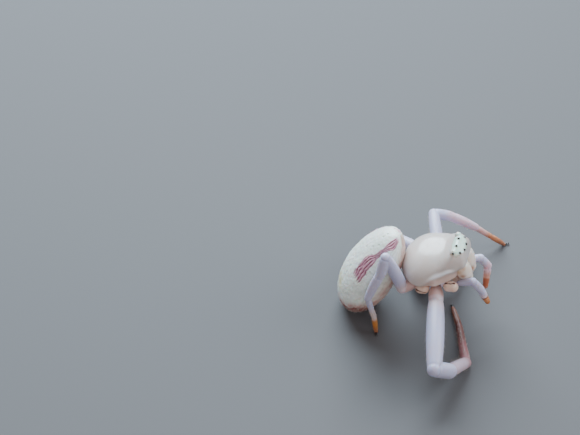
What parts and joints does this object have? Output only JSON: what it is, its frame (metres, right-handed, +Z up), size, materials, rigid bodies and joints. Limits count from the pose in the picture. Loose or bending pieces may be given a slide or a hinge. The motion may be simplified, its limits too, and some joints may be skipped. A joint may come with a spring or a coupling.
{
  "type": "crab spider",
  "caption": "Life-size female crab spider standing still, with a swollen pale abdomen resting on its rear end, raised head, bent clear legs and two short leg stumps",
  "frame": {"origin": "middle of the outline on the ground under the spider", "axes": "+X to the spider's left, +Y to its rear, +Z up; the ground is the plane Z = 0"},
  "size_m": [0.0126, 0.009, 0.0062],
  "materials": {
    "shell": "translucent glossy horn",
    "flesh": "translucent satin skin",
    "limb": "translucent glossy skin",
    "foot": "satin horn",
    "abdomen": "soft waxy skin",
    "dark": "polished lens and claw"
  },
  "bodies": {
    "root": {"carapace": "shell", "eye_front_median_left": "dark", "eye_front_median_right": "dark", "eye_front_lateral_left": "dark", "eye_front_lateral_right": "dark", "eye_rear_median_left": "dark", "eye_rear_median_right": "dark", "eye_rear_lateral_left": "dark", "eye_rear_lateral_right": "dark", "sternum": "flesh", "chelicera_left": "shell", "chelicera_right": "shell", "palp_right_root": "limb", "palp_right_tip": "foot", "palp_left_root": "limb", "palp_left_tip": "foot", "pedicel": "flesh", "spinnerets": "flesh", "leg_right_2_coxa": "flesh", "leg_right_2_femur": "limb", "leg_right_2_tibia": "limb", "leg_right_2_tarsus": "foot", "leg_right_2_claws": "dark", "leg_right_4_coxa": "flesh", "leg_right_4_femur": "limb", "leg_right_4_tibia": "limb", "leg_right_4_tarsus": "foot", "leg_right_4_claws": "dark", "leg_left_1_coxa": "flesh", "leg_left_1_femur": "limb", "leg_left_1_tibia": "limb", "leg_left_1_tarsus": "foot", "leg_left_1_claws": "dark", "leg_left_2_coxa": "flesh", "leg_left_2_femur": "limb", "leg_left_2_tibia": "limb", "leg_left_2_tarsus": "foot", "leg_left_2_claws": "dark", "leg_left_3_coxa": "flesh", "leg_left_3_femur": "limb", "leg_left_3_tibia": "limb", "leg_left_3_tarsus": "foot", "leg_left_3_claws": "dark", "leg_left_4_coxa": "flesh", "leg_left_4_femur": "limb", "leg_left_4_tibia": "limb", "leg_left_4_tarsus": "foot", "leg_left_4_claws": "dark", "abdomen": "abdomen", "leg_right_1_stump": "flesh", "leg_right_3_stump": "flesh"}
  },
  "joints": []
}
